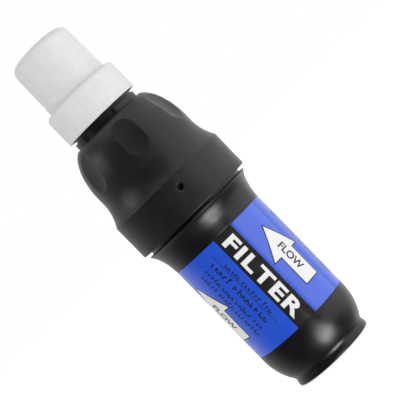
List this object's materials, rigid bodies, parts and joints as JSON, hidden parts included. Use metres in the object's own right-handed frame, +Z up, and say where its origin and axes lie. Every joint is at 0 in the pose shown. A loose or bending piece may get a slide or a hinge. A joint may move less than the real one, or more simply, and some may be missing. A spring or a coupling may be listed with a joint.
{
  "type": "squeeze water filter",
  "caption": "Slim in-line water filter: threaded inlet socket, labelled barrel, sculpted head with finger dimples, screw cap with push-pull spout under a domed dust cap.",
  "frame": {"origin": "centre of the inlet rim, the flat ring that the filter stands on", "axes": "+Z up along the filter's axis in the direction of flow, from inlet to outlet; -Y is the front, the side with the small hole; +X is to its right"},
  "size_m": [0.0482, 0.0482, 0.1514],
  "materials": {
    "barrel_plastic": "semi-gloss black moulded plastic",
    "head_plastic": "satin charcoal moulded plastic",
    "label_film": "satin printed film, blue with a black stripe and white arrows",
    "cap_plastic": "satin white moulded plastic",
    "spout_plastic": "satin white moulded plastic",
    "overcap_plastic": "frosted white translucent plastic",
    "seal_white": "soft pale grey sealing foam",
    "rubber": "matt black rubber",
    "grey_plastic": "plain grey moulded plastic",
    "resin": "cast amber potting resin",
    "fibre": "off-white hollow-fibre membrane"
  },
  "bodies": {
    "filter_body": {"barrel": "barrel_plastic", "wrap_label": "label_film", "inlet_gasket": "rubber", "inlet_strainer": "grey_plastic", "outlet_head": "head_plastic", "cartridge_sleeve": "grey_plastic", "potting_plug": "resin", "head_o_ring": "rubber", "cartridge_o_ring": "rubber", "fibre_hank_01": "fibre", "fibre_hank_02": "fibre", "fibre_hank_03": "fibre", "fibre_hank_04": "fibre", "fibre_hank_05": "fibre", "fibre_hank_06": "fibre", "fibre_hank_07": "fibre", "fibre_hank_08": "fibre", "fibre_hank_09": "fibre", "fibre_hank_10": "fibre", "fibre_hank_11": "fibre", "fibre_hank_12": "fibre", "fibre_hank_13": "fibre"},
    "cap_seal": {"cap_liner": "seal_white"},
    "cap": {"screw_cap": "cap_plastic"},
    "spout": {"pull_spout": "spout_plastic"},
    "dust_cap": {"overcap": "overcap_plastic"}
  },
  "joints": [
    {"name": "cap_rise", "type": "slide", "parent": "filter_body", "child": "cap_seal", "axis": [0, 0, 1], "range_m": [0, 0.0096]},
    {"name": "cap_turn", "type": "hinge", "parent": "cap_seal", "child": "cap", "pos_m": [0, 0, 0.1172], "axis": [0, 0, 1], "range_deg": [0, 1080]},
    {"name": "spout_pull", "type": "slide", "parent": "cap", "child": "spout", "axis": [0, 0, 1], "range_m": [0, 0.005]},
    {"name": "overcap_pull", "type": "slide", "parent": "cap", "child": "dust_cap", "axis": [0, 0, 1], "range_m": [0, 0.024]}
  ],
  "couplings": [
    {"joint": "cap_rise", "follows": "cap_turn", "m_per_rad": 0.00050611}
  ]
}
